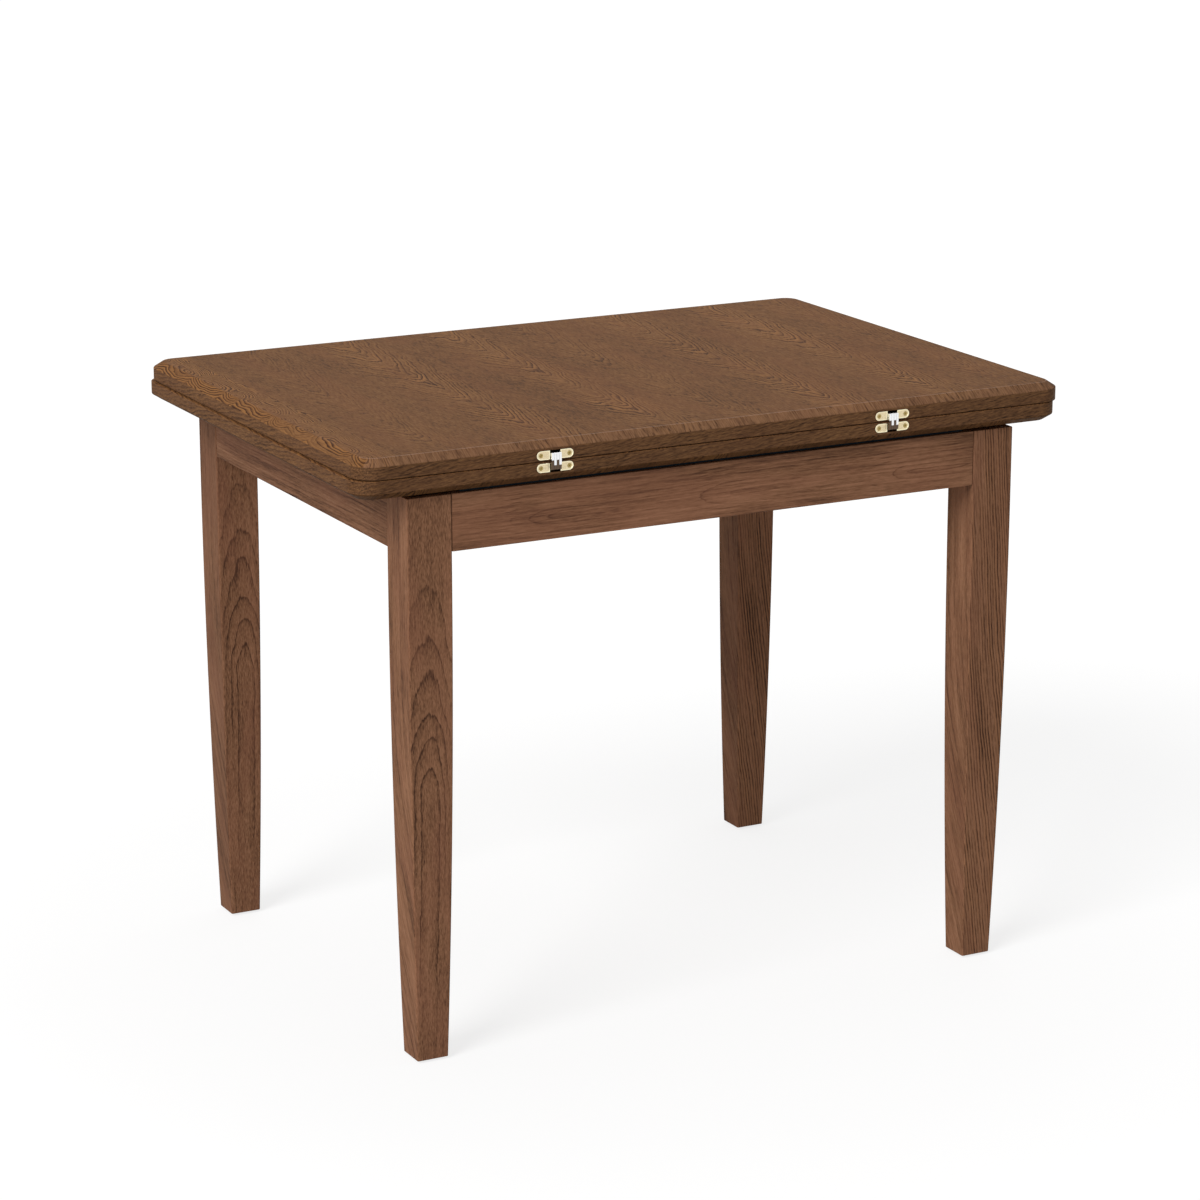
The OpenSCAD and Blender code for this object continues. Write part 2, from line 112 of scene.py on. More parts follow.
class Nodes:
    """Short calls for building the node tree of a material or a world."""

    def __init__(self, owner, output="ShaderNodeOutputMaterial"):
        owner.use_nodes = True
        self.owner = owner
        self.tree = owner.node_tree
        self.tree.nodes.clear()
        self.out = self.add(output)

    def add(self, kind, **props):
        node = self.tree.nodes.new(kind)
        for key, value in props.items():
            setattr(node, key, value)
        return node

    def link(self, a, b):
        self.tree.links.new(a, b)

    def put(self, socket, value):
        if isinstance(value, bpy.types.NodeSocket):
            self.link(value, socket)
        else:
            socket.default_value = value

    def math(self, op, a, b=0.0, c=None, clamp=False):
        node = self.add("ShaderNodeMath", operation=op, use_clamp=clamp)
        self.put(node.inputs[0], a)
        self.put(node.inputs[1], b)
        if c is not None:
            self.put(node.inputs[2], c)
        return node.outputs[0]

    def fold(self, op, values, clamp=False):
        """Joins a list of values with one operation."""
        return reduce(lambda a, b: self.math(op, a, b, clamp=clamp), values)

    def vec(self, op, a, b):
        node = self.add("ShaderNodeVectorMath", operation=op)
        self.put(node.inputs[0], a)
        self.put(node.inputs[1], b)
        return node.outputs[0]

    def length(self, v):
        node = self.add("ShaderNodeVectorMath", operation="LENGTH")
        self.put(node.inputs[0], v)
        return node.outputs["Value"]

    def split(self, v):
        node = self.add("ShaderNodeSeparateXYZ")
        self.put(node.inputs[0], v)
        return node.outputs

    def join(self, x, y, z):
        node = self.add("ShaderNodeCombineXYZ")
        self.put(node.inputs[0], x)
        self.put(node.inputs[1], y)
        self.put(node.inputs[2], z)
        return node.outputs[0]

    def place(self):
        """The place on the piece at rest, in metres."""
        return self.add("ShaderNodeTexCoord").outputs["Object"]

    def noise(self, vector, detail, rough=0.5, distortion=0.0):
        """Noise from 0 to 1, with about one wave per unit of the vector."""
        node = self.add("ShaderNodeTexNoise", noise_dimensions="3D")
        self.put(node.inputs["Vector"], vector)
        node.inputs["Scale"].default_value = 1.0
        node.inputs["Detail"].default_value = detail
        node.inputs["Roughness"].default_value = rough
        node.inputs["Distortion"].default_value = distortion
        return node.outputs["Fac"]

    def waves(self, place, per_metre, **settings):
        """Noise from 0 to 1, with that many waves per metre along each axis."""
        return self.noise(self.vec("MULTIPLY", place, per_metre), **settings)

    def swing(self, place, per_metre, **settings):
        """The same noise, from -0.5 to 0.5."""
        return self.math("SUBTRACT", self.waves(place, per_metre, **settings), 0.5)

    def ramp(self, fac, stops):
        node = self.add("ShaderNodeValToRGB")
        self.put(node.inputs[0], fac)
        ramp = node.color_ramp
        while len(ramp.elements) < len(stops):
            ramp.elements.new(0.5)
        for element, (place, value) in zip(ramp.elements, stops):
            element.position = place
            element.color = value if isinstance(value, tuple) else (value, value, value, 1)
        return node.outputs[0]

    def range(self, value, low, high, to_low=0.0, to_high=1.0):
        node = self.add("ShaderNodeMapRange", clamp=True)
        self.put(node.inputs[0], value)
        for i, v in enumerate((low, high, to_low, to_high)):
            self.put(node.inputs[i + 1], v)
        return node.outputs[0]

    def mix(self, fac, a, b):
        node = self.add("ShaderNodeMix", data_type="RGBA", blend_type="MIX")
        self.put(node.inputs[0], fac)
        self.put(node.inputs[6], a)
        self.put(node.inputs[7], b)
        return node.outputs[2]

    def mix_shaders(self, fac, a, b):
        node = self.add("ShaderNodeMixShader")
        self.put(node.inputs[0], fac)
        self.link(a, node.inputs[1])
        self.link(b, node.inputs[2])
        return node.outputs[0]

    def bump(self, height, strength, distance):
        node = self.add("ShaderNodeBump")
        node.inputs["Strength"].default_value = strength
        node.inputs["Distance"].default_value = distance
        self.put(node.inputs["Height"], height)
        return node.outputs[0]

    def seen(self):
        """1 for the rays that see the background directly, off gloss or through glass."""
        path = self.add("ShaderNodeLightPath").outputs
        kinds = ("Is Camera Ray", "Is Glossy Ray", "Is Transmission Ray")
        return self.fold("ADD", [path[kind] for kind in kinds], clamp=True)


def shaded(name):
    """The nodes of a new material, whose one shader is n.bsdf."""
    n = Nodes(bpy.data.materials.new(name))
    n.bsdf = n.add("ShaderNodeBsdfPrincipled")
    n.link(n.bsdf.outputs[0], n.out.inputs[0])
    return n


# noise in wood, in waves per metre: across the face, into the wood, along the grain
DRIFT = (7, 7, 2.4)
WIGGLE = (60, 60, 22)
THREAD = (420, 420, 26)
PATCHY = (9, 9, 11)
EYES = (38, 38, 14)
TEETH = (1000, 1000, 20)
HUE = (26, 26, 7)
PORES = (1400, 1400, 150)
# one growth ring: how dark it is and how much it glows, from its start to the next ring
RING_DARK = ((0.0, 0.0), (0.5, 0.1), (0.8, 0.4), (0.93, 1.0), (1.0, 0.1))
RING_GLOW = ((0.0, 0.5), (0.2, 1.0), (0.6, 0.0))
MOST_RINGS = 16


def ladder_figure(n, side, run, spacing, ladder):
    """Nested arches: the count of rings at each place, and how strongly they show there."""
    start, stop, repeats, rungs = ladder
    step = n.math("WRAP", run, stop, start) if repeats else run
    # the ramp holds ring counts as shares of MOST_RINGS, so that they stay between 0 and 1
    rung = n.ramp(n.range(step, start, stop), [
        ((at - start) / (stop - start), (rings / MOST_RINGS, amount, 0.0, 1.0))
        for at, rings, amount in rungs
    ])
    crossed, strength, _ = n.split(rung)
    crossed = n.math("MULTIPLY", crossed, MOST_RINGS)
    away = n.math("DIVIDE", side, spacing)
    square = n.math("MULTIPLY_ADD", crossed, crossed, n.math("MULTIPLY", away, away))
    return n.math("SQRT", square), strength


def veneer_figure(n, solid, straight, side, run, spacing, veneer, bold, seed):
    """Bands of arches: the count of rings at each place, and how strongly they show there.

    solid is the place in the wood, and straight is the side before the lines wander.
    """
    period, reach, depth, taper, skew, centres = veneer
    offsets = [
        n.math("WRAP", n.math("SUBTRACT", side, spot), period / 2, -period / 2)
        for spot, _ in centres
    ]
    aways = [n.math("ABSOLUTE", offset) for offset in offsets]
    across = n.fold("MINIMUM", aways)
    bent = n.fold("MINIMUM", [
        n.math("MULTIPLY_ADD", offset, skew, away) for offset, away in zip(offsets, aways)
    ])
    strength = n.fold("MAXIMUM", [
        n.range(away, 0.25 * reach, reach, amount, 0.0)
        for away, (_, amount) in zip(aways, centres)
    ])
    patchy = n.waves(solid, PATCHY, detail=1.0)
    strength = n.math("MULTIPLY", strength, n.range(patchy, 0.35, 0.6, 0.5, 1.0))
    jog = n.noise(n.join(n.math("MULTIPLY", run, 17), seed, 0.0), detail=1.0)
    rise = n.math("MULTIPLY_ADD", n.math("SUBTRACT", jog, 0.5), 0.04, run)
    eyes = n.swing(solid, EYES, detail=1.5)
    radius = n.math("SQRT", n.math("MULTIPLY_ADD", bent, bent, depth * depth))
    radius = n.math("MULTIPLY_ADD", rise, taper, radius)
    if bold:
        start, stop, gain, pitch, flat, fine = bold
        near = n.range(straight, start, stop)
        strength = n.math("MULTIPLY", strength, n.math("SUBTRACT", 1.0, near))
        chain = n.range(across, 0.4 * reach, reach, gain, 0.0)
        strength = n.math("MULTIPLY_ADD", chain, near, strength)
        uneven = n.noise(n.join(n.math("MULTIPLY", run, 9), seed + 4, 0.0), detail=0.0)
        beat = n.math("MULTIPLY_ADD", n.math("SUBTRACT", uneven, 0.5), 2 * pitch, rise)
        beat = n.math("WRAP", beat, pitch / 2, -pitch / 2)
        beat = n.math("MULTIPLY", beat, flat)
        knots = n.math("MULTIPLY_ADD", beat, beat, n.math("MULTIPLY", across, across))
        knots = n.math("MULTIPLY", n.math("SQRT", knots), fine)
        knots = n.math("SUBTRACT", knots, radius)
        radius = n.math("MULTIPLY_ADD", knots, near, radius)
        eyes = n.math("MULTIPLY", eyes, n.math("MULTIPLY_ADD", near, 2.4, 1.0))
    radius = n.math("MULTIPLY_ADD", eyes, 0.014, radius)
    return n.math("DIVIDE", radius, spacing), strength


def ring_lines(n, turns, run, seed):
    """The rings' dark lines and the glow beside them. Each ring has a strength of its own."""
    phase = n.math("FRACT", turns)
    count = n.math("MULTIPLY_ADD", n.math("FLOOR", turns), 3.7, seed * 9)
    faint = n.noise(n.join(count, 0.0, n.math("MULTIPLY", run, 4)), detail=0.0)
    faint = n.range(faint, 0.32, 0.62, 0.15, 1.0)
    return [n.math("MULTIPLY", n.ramp(phase, stops), faint) for stops in (RING_DARK, RING_GLOW)]


def wood(
    name, along, tones, grain, seed, origin=(0, 0, 0), flip=1, spacing=0.005, slant=0.0, lean=0.0,
    lean_start=0.0, ladder=None, veneer=None, bold=None, comb=None, patches=(), line=0.5,
    gold=0.0, warm=0.3, wander=0.012, ripple=1.0, feather=0.5, pore=0.3, gloss=0.55, level=0.04,
    relief=0.15, tone=1.0,
):
    """Sawn wood: growth rings cut by the face, fibres along the grain, and open pores.

    Figure. along is the axis of the grain, and flip=-1 turns it round. The lines run straight,
    slanted, or bent aside beyond lean_start by lean. ladder=(start, stop, repeats, rungs) makes
    nested arches instead: each rung is (place along the grain, rings crossed there, strength).
    veneer=(period, reach, depth, taper, skew, ((place, strength), ...)) repeats narrow bands of
    arches with quiet wood between them, and bold=(from, to, strength, pitch, flatness, rings)
    turns that figure into a chain of eyes towards one side. spacing is the width of a ring.

    Lines. line and gold are the strength of the dark lines and the glow. wander, ripple and
    feather move the lines at a large, small and very small scale.

    Fibres. grain lists their noise: (waves per metre across, waves per metre along, amount).
    comb=(from, to, amount) adds short dark streaks towards the end of the grain, and patches
    are clouds: (across, along, half width, half length, amount).
    """
    tones = {key: (*(c * tone for c in value[:3]), 1.0) for key, value in tones.items()}
    n = shaded(name)
    x, y, z = n.split(n.vec("SUBTRACT", n.place(), origin))
    side, deep, run = {
        "x": (z, y, x), "y": (x, z, y), "z": (x, y, z), "Y": (z, x, y), "Z": (y, x, z),
    }[along]
    if flip < 0:
        run = n.math("MULTIPLY", run, -1)
    if slant:
        turned = n.math("MULTIPLY_ADD", run, -slant, side)
        run = n.math("MULTIPLY_ADD", side, slant, run)
        side = turned
    if veneer:
        deep = 0.0
    straight = side
    shift = (seed, seed * 0.7, seed * 1.3)
    solid = n.vec("ADD", n.join(side, deep, run), shift)
    side = n.math("MULTIPLY_ADD", n.swing(solid, DRIFT, detail=1.5), wander * 2, side)
    if lean:
        past = n.math("SUBTRACT", lean_start, run)
        root = n.math("SQRT", n.math("MULTIPLY_ADD", past, past, 0.006))
        side = n.math("MULTIPLY_ADD", n.math("ADD", past, root), -lean / 2, side)
    flow = n.vec("ADD", n.join(side, deep, run), shift)

    strength = None
    if ladder:
        turns, strength = ladder_figure(n, side, run, spacing, ladder)
    elif veneer:
        turns, strength = veneer_figure(
            n, solid, straight, side, run, spacing, veneer, bold, seed
        )
    else:
        turns = n.math("DIVIDE", side, spacing)
    wiggle = n.swing(solid, WIGGLE, detail=1.0)
    turns = n.math("MULTIPLY_ADD", wiggle, 1.6 * ripple, turns)
    thread = n.swing(flow, THREAD, detail=1.0)
    turns = n.math("MULTIPLY_ADD", thread, feather, turns)
    rings, glow = ring_lines(n, turns, run, seed)

    # shade runs from 0, pale, to 1, dark; where lines show, the wood between them is paler
    if strength is not None:
        rings = n.math("MULTIPLY", rings, n.math("ADD", strength, 0.06))
        glow = n.math("MULTIPLY", glow, strength)
        shade = n.math("MULTIPLY_ADD", strength, -0.15 * line, 0.5)
    else:
        shade = 0.5 - 0.15 * line
    shade = n.math("MULTIPLY_ADD", rings, line, shade)
    for wide, long, amount in grain:
        field = n.swing(flow, (wide, wide, long), detail=2.0, rough=0.55)
        shade = n.math("MULTIPLY_ADD", field, amount * 2, shade)
    if comb:
        start, stop, amount = comb
        teeth = n.waves(flow, TEETH, detail=0.0)
        near = n.range(run, start, stop, 0.0, amount)
        shade = n.math("MULTIPLY_ADD", n.range(teeth, 0.35, 0.65, -0.5, 0.5), near, shade)
    for across, at, wide, long, amount in patches:
        spot = n.join(
            n.math("DIVIDE", n.math("SUBTRACT", side, across), wide),
            n.math("DIVIDE", n.math("SUBTRACT", run, at), long), 0.0,
        )
        shade = n.math("ADD", shade, n.range(n.length(spot), 1.0, 0.1, 0.0, amount))

    colour = n.ramp(shade, [(0.0, tones["pale"]), (0.5, tones["mid"]), (1.0, tones["dark"])])
    if gold:
        colour = n.mix(n.math("MULTIPLY", glow, gold, clamp=True), colour, tones["gold"])
    hue = n.waves(flow, HUE, detail=2.0)
    colour = n.mix(n.range(hue, 0.42, 0.66, 0.0, warm), colour, tones["warm"])
    holes = n.waves(flow, PORES, detail=1.0)
    pits = n.range(holes, 0.54, 0.68)
    pits = n.math("MULTIPLY", pits, n.math("MULTIPLY_ADD", rings, 0.6, 0.4), clamp=True)
    colour = n.mix(n.math("MULTIPLY", pits, pore), colour, tones["pore"])
    n.link(colour, n.bsdf.inputs["Base Color"])
    n.link(n.math("MULTIPLY_ADD", holes, 0.2, gloss - 0.1), n.bsdf.inputs["Roughness"])
    n.bsdf.inputs["Specular IOR Level"].default_value = level
    height = n.math("SUBTRACT", n.math("MULTIPLY", shade, -0.5), pits)
    n.link(n.bump(height, relief, 0.3 * MM), n.bsdf.inputs["Normal"])
    return n.owner


def metal(name, colour, rough, brush, grain=0.15, dark=None, painted_shade_below=None):
    """Satin metal with fine brush marks. Below a height it can be painted dark, a painted shade.
    """
    n = shaded(name)
    place = n.place()
    fine = n.waves(place, brush, detail=3.0)
    cloud = n.waves(place, (300, 300, 300), detail=1.0)
    tint = n.mix(n.range(fine, 0.3, 0.7, 0.0, grain), colour, (0.05, 0.05, 0.05, 1))
    # painted shade: below the height the colour turns dark, along a ragged edge
    if dark:
        height = n.split(place)[2]
        edge = n.math("MULTIPLY_ADD", cloud, 0.6 * MM, painted_shade_below)
        below = n.range(height, n.math("SUBTRACT", edge, 0.4 * MM), edge, 1.0, 0.0)
        tint = n.mix(below, tint, dark)
    n.link(tint, n.bsdf.inputs["Base Color"])
    n.bsdf.inputs["Metallic"].default_value = 1.0
    n.link(n.range(cloud, 0.3, 0.7, rough - 0.05, rough + 0.07), n.bsdf.inputs["Roughness"])
    n.link(n.bump(fine, 0.08, 0.1 * MM), n.bsdf.inputs["Normal"])
    return n.owner


def felt(name, colour, light):
    """Matt felt with short tangled hair."""
    n = shaded(name)
    hair = n.waves(n.place(), (900, 900, 900), detail=4.0, rough=0.7, distortion=1.5)
    n.link(n.mix(n.range(hair, 0.35, 0.7), colour, light), n.bsdf.inputs["Base Color"])
    n.bsdf.inputs["Roughness"].default_value = 0.95
    n.bsdf.inputs["Specular IOR Level"].default_value = 0.1
    n.link(n.bump(hair, 0.5, 0.8 * MM), n.bsdf.inputs["Normal"])
    return n.owner


def rubber(name, colour, light):
    """Rubber with a fine moulded grain."""
    n = shaded(name)
    grain = n.waves(n.place(), (1200, 1200, 1200), detail=2.0)
    n.link(n.mix(grain, colour, light), n.bsdf.inputs["Base Color"])
    n.link(n.range(grain, 0.3, 0.7, 0.45, 0.65), n.bsdf.inputs["Roughness"])
    n.link(n.bump(grain, 0.15, 0.2 * MM), n.bsdf.inputs["Normal"])
    return n.owner


OAK = dict(
    pale=rgb(136, 97, 63), mid=rgb(111, 76, 47), dark=rgb(60, 39, 27), gold=rgb(152, 106, 62),
    pore=rgb(50, 33, 23), warm=rgb(121, 79, 51),
)
OAK_EDGE = dict(
    pale=rgb(124, 89, 58), mid=rgb(92, 64, 43), dark=rgb(44, 29, 20), gold=rgb(130, 92, 56),
    pore=rgb(38, 26, 18), warm=rgb(98, 66, 45),
)
# paler, greyer oak for the top's long bevels and arris: a painted sheen, standing for the
# reflection on the slope that faces up and forwards
OAK_PAINTED_SHEEN = dict(
    pale=rgb(140, 104, 76), mid=rgb(118, 85, 61), dark=rgb(60, 42, 31), gold=rgb(148, 106, 66),
    pore=rgb(52, 37, 28), warm=rgb(124, 85, 62),
)
WALNUT = dict(
    pale=rgb(150, 109, 83), mid=rgb(121, 85, 62), dark=rgb(64, 42, 31), gold=rgb(150, 106, 76),
    pore=rgb(64, 42, 31), warm=rgb(132, 88, 68),
)
BEECH = dict(
    pale=rgb(222, 194, 156), mid=rgb(202, 168, 126), dark=rgb(160, 122, 84),
    gold=rgb(226, 198, 160), pore=rgb(130, 94, 64), warm=rgb(208, 165, 128),
)

OAK_GRAIN = ((900, 110, 0.5), (420, 90, 0.5), (120, 30, 0.3), (12, 8, 0.2))
EDGE_GRAIN = ((1100, 170, 0.6), (620, 90, 0.6), (160, 22, 0.15), (20, 7, 0.3))
LEG_GRAIN = ((900, 160, 0.7), (420, 40, 0.22), (120, 9, 0.2), (14, 3.5, 0.35))
LINED_GRAIN = ((900, 120, 0.6), (600, 34, 0.55), (130, 6, 0.3), (24, 3, 0.4))
CALM_GRAIN = ((900, 120, 0.5), (420, 26, 0.4), (100, 7, 0.3), (24, 4, 0.5))
APRON_GRAIN = ((900, 90, 0.4), (420, 13, 0.55), (130, 6, 0.3), (24, 4, 0.4))
BEECH_GRAIN = ((900, 60, 0.3), (200, 9, 0.3), (14, 3.5, 0.3))

# the leaves' oak: one veneer pattern, with bands of arches across the table
VENEER = (
    391 * MM, 52 * MM, 5 * MM, 0.3, 0.35,
    ((-71.7 * MM, 0.9), (31.7 * MM, 0.35), (172 * MM, 1.0)),
)
OAK_FACE = dict(
    flip=-1, veneer=VENEER, spacing=0.0068, line=1.6, gold=0.95, wander=0.009, ripple=1.1,
    feather=0.6, pore=0.35, level=0.02, relief=0.06,
)
TOP_FACE = dict(
    OAK_FACE, origin=(0, 0, TOP_Z), bold=(-0.418, -0.436, 1.3, 0.082, 0.28, 2.42),
    comb=(0.312, 0.322, 0.4), seed=0.3,
)
BEVEL_FACE = dict(TOP_FACE, comb=(0.312, 0.322, 0.2), line=0.75, gold=0.5)
ARRIS_FACE = dict(BEVEL_FACE, gloss=0.5, level=0.2)
UNDER_FACE = dict(OAK_FACE, origin=(0.05, 0.02, TOP_Z - 2 * LEAF_T), seed=2.1)
# the mating faces carry one pattern that runs on over the joint when the top is open
OPEN_Y = 50 * MM
LOWER_MATE = dict(OAK_FACE, origin=(0.11, OPEN_Y, SEAM_Z), seed=3.7)
UPPER_MATE = dict(LOWER_MATE, origin=(0.11, 2 * FOLD_Y - OPEN_Y, SEAM_Z), flip=1)

oak_top = wood("oak_top", "y", OAK, OAK_GRAIN, tone=0.94, **TOP_FACE)
# the long bevels of the upper leaf take the paler tones of the painted sheen
oak_top_bevel_painted_sheen = wood("oak_top_bevel_painted_sheen", "y", OAK_PAINTED_SHEEN, OAK_GRAIN, **BEVEL_FACE)
oak_top_end = wood("oak_top_end", "y", OAK, OAK_GRAIN, tone=0.86, **TOP_FACE)
# the front arris is painted lighter (tone 1.17): a painted glint along the edge, besides its real,
# higher gloss
oak_top_arris_painted_glint = wood("oak_top_arris_painted_glint", "y", OAK_PAINTED_SHEEN, OAK_GRAIN, tone=1.17, **ARRIS_FACE)
oak_under = wood("oak_under", "y", OAK, OAK_GRAIN, **UNDER_FACE)
# the lower leaf's bevels and arris are painted dark (tone 0.45): painted shade on the faces that
# look down and away
oak_under_bevel_painted_shade = wood("oak_under_bevel_painted_shade", "y", OAK, OAK_GRAIN, tone=0.45, **UNDER_FACE)
oak_mate_lower = wood("oak_mate_lower", "y", OAK, OAK_GRAIN, **LOWER_MATE)
oak_mate_upper = wood("oak_mate_upper", "y", OAK, OAK_GRAIN, **UPPER_MATE)
oak_long = wood(
    "oak_long_edge", "x", OAK_EDGE, EDGE_GRAIN, origin=(0, FOLD_Y, SEAM_Z), spacing=0.0042,
    slant=0.13, wander=0.004, line=0.25, gold=0.25, ripple=2.0, pore=0.5, seed=5.0,
)
oak_short = wood(
    "oak_short_edge", "Y", OAK_EDGE, EDGE_GRAIN, origin=(-LEAF_X, 0, SEAM_Z), spacing=0.005,
    slant=-0.16, wander=0.004, line=0.3, gold=0.4, ripple=1.6, pore=0.5, level=0.02, seed=6.0,
    tone=0.97,
)
# near black oak (tone 0.16): painted shade in the seam between the folded leaves
oak_seam_painted_shade = wood("oak_seam_painted_shade", "x", OAK_EDGE, EDGE_GRAIN, level=0.02, tone=0.16, seed=5.5)

# heights at which the arches on the left legs' front faces cross the middle, with their strength
LEG_ARCHES = (0.0, FRAME_TOP, False, (
    (0.0, 2.6, 1.0), (0.2, 2.3, 1.0), (0.345, 2.2, 1.0), (0.375, 3.0, 1.0), (0.410, 4.0, 1.0),
    (0.438, 5.0, 0.9), (0.489, 6.0, 1.0), (0.530, 7.0, 0.9), (0.575, 7.6, 0.4), (0.585, 7.8, 0.4),
    (0.604, 8.2, 0.7), (0.697, 9.3, 0.7),
))
# the same along the front apron, whose figure repeats
APRON_ARCHES = (-0.04, 0.21, True, (
    (-0.04, 3.3, 0.0), (-0.012, 3.25, 0.4), (0.0, 3.0, 0.8), (0.025, 2.0, 0.7), (0.045, 1.0, 0.7),
    (0.06, 0.7, 0.7), (0.12, 0.8, 0.7), (0.165, 1.2, 0.2), (0.18, 1.6, 0.0), (0.21, 3.3, 0.0),
))
# how dark each leg's side faces are, by its place
FLANK_TONES = {(-1, -1): 0.91, (-1, 1): 0.75, (1, -1): 0.85, (1, 1): 0.82}


def leg_woods(name, sx, sy):
    """The wood of one leg: of its front and back faces, and of its side faces."""
    x = sx * (FRAME_X - LEG / 2)
    y = sy * (FRAME_Y - LEG / 2)
    if sx < 0:
        face = wood(
            name + "_face", "z", WALNUT, LEG_GRAIN, ladder=LEG_ARCHES, spacing=0.006,
            origin=(x - (1 - 4 * sy) * MM, y - LEG / 2, 0.0), wander=0.009, line=0.54,
            ripple=0.55, feather=0.25, seed=1.0 + sy * 0.002, tone=0.97 if sy > 0 else 1.03,
        )
    else:
        face = wood(
            name + "_face", "z", WALNUT, LINED_GRAIN, origin=(x, y - LEG / 2, 0.0),
            spacing=0.0041, lean=0.12, lean_start=0.66, wander=0.011, line=1.2, gold=1.0,
            ripple=0.6, feather=0.4, seed=2.4 + sy * 0.002, tone=0.88,
            patches=((-0.047, 0.3, 0.016, 0.13, 0.32), (0.0165, 0.62, 0.007, 0.14, 0.22)),
        )
    flank = wood(
        name + "_flank", "Z", WALNUT, CALM_GRAIN, origin=(x - LEG / 2, y, 0.0), spacing=0.013,
        lean=-0.42, lean_start=0.36, wander=0.008, line=0.34, ripple=0.3, pore=0.2, level=0.02,
        seed=4.0 + sx * 0.9 + sy * 0.4, tone=FLANK_TONES[sx, sy],
    )
    return [face, flank]


walnut_long = wood(
    "walnut_long", "x", WALNUT, APRON_GRAIN, origin=(-0.2835, -FRAME_Y, FRAME_TOP - 0.041),
    ladder=APRON_ARCHES, spacing=0.005, wander=0.003, line=0.5, ripple=0.4, feather=0.35,
    patches=((-0.004, 0.118, 0.003, 0.01, 0.3), (-0.002, 0.14, 0.003, 0.01, 0.3)),
    seed=8.0, tone=1.05,
)
walnut_short = wood(
    "walnut_short", "Y", WALNUT, APRON_GRAIN, origin=(-FRAME_X, 0, FRAME_TOP - 0.05),
    spacing=0.008, wander=0.006, line=0.34, ripple=0.4, level=0.02, seed=9.0, tone=0.8,
)
beech_y = wood(
    "beech_y", "y", BEECH, BEECH_GRAIN, origin=(0.2, 0, 0.6), spacing=0.004, line=0.3, seed=11.0
)
beech_z = wood(
    "beech_z", "z", BEECH, BEECH_GRAIN, origin=(0.3, 0.2, 0.6), spacing=0.004, line=0.3, seed=12.0
)

brass = metal("brass_field", rgb(236, 219, 180), 0.45, (900, 900, 900), grain=0.3)
brass_rim = metal("brass_rim", rgb(250, 240, 205), 0.38, (1500, 1500, 1500), grain=0.06)
# the screws' own duller brass; the countersinks take it too, as painted shade round the screw
# heads
brass_dark = metal("brass_screw", rgb(190, 168, 108), 0.6, (1200, 1200, 1200), grain=0.35)
# near black metal for the walls and back inside each cup: painted shade in the deep pocket
cup_inside_painted_shade = metal("cup_painted_shade", rgb(52, 47, 44), 0.5, (1500, 1500, 300), grain=0.3)
steel = metal("steel_plain", rgb(200, 200, 202), 0.35, (900, 900, 900))
# the polished links are painted dark below their knees: a painted reflection of the dark gap
# there, and painted shade
steel_lower, steel_upper = (
    metal(name, rgb(244, 245, 247), 0.3, (2000, 2000, 200), grain=0.1, dark=rgb(94, 78, 66),
          painted_shade_below=height)
    for name, height in (
        ("steel_link_a", SEAM_Z + 1.6 * MM), ("steel_link_b", SEAM_Z - 4.4 * MM),
    )
)
felt_black = felt("felt_black", rgb(14, 20, 26), rgb(44, 54, 62))
rubber_black = rubber("rubber_black", rgb(24, 22, 21), rgb(44, 41, 39))


# Mesh tools


def loose(name, bm):
    """An object from a bmesh whose faces all point outwards."""
    bmesh.ops.recalc_face_normals(bm, faces=bm.faces)
    mesh = bpy.data.meshes.new(name)
    bm.to_mesh(mesh)
    bm.free()
    obj = bpy.data.objects.new(name, mesh)
    bpy.context.scene.collection.objects.link(obj)
    return obj


HARD_EDGE = math.radians(32)


def dress(obj, materials, body, node, pick=None):
    """Gives an object its materials, shading and body, in place of a CAD node.

    pick gives a face the number of its material.
    """
    mesh = obj.data
    mesh.materials.clear()
    for m in materials:
        mesh.materials.append(m)
    for face in mesh.polygons:
        face.material_index = pick(face) if pick else 0
    # smooth shading that keeps hard edges and flat faces
    mesh.polygons.foreach_set("use_smooth", [True] * len(mesh.polygons))
    mesh.set_sharp_from_angle(angle=HARD_EDGE)
    weighted = obj.modifiers.new("weighted", "WEIGHTED_NORMAL")
    weighted.keep_sharp = True
    weighted.weight = 80
    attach(obj, body)
    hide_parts(node)


def loft(bm, rings):
    """Joins closed rings of points with quads, and closes both ends."""
    rows = [[bm.verts.new(p) for p in ring] for ring in rings]
    count = len(rows[0])
    for low, high in zip(rows, rows[1:]):
        for i in range(count):
            j = (i + 1) % count
            bm.faces.new((low[i], low[j], high[j], high[i]))
    bm.faces.new(list(reversed(rows[0])))
    bm.faces.new(rows[-1])


def circle(x, y, z, radius):
    """Points of a circle round an axis along Y."""
    steps = 32
    angles = (2 * math.pi * i / steps for i in range(steps))
    return [Vector((x + radius * math.cos(a), y, z + radius * math.sin(a))) for a in angles]


def round_rect(half_x, half_y, radius, z, centre, steps):
    """A rounded rectangle at height z, counter-clockwise."""
    points = []
    for k, (sx, sy) in enumerate(((1, 1), (-1, 1), (-1, -1), (1, -1))):
        cx = centre[0] + sx * (half_x - radius)
        cy = centre[1] + sy * (half_y - radius)
        for i in range(steps + 1):
            angle = math.radians(90 * k + 90 * i / steps)
            points.append(
                Vector((cx + radius * math.cos(angle), cy + radius * math.sin(angle), z))
            )
    return points


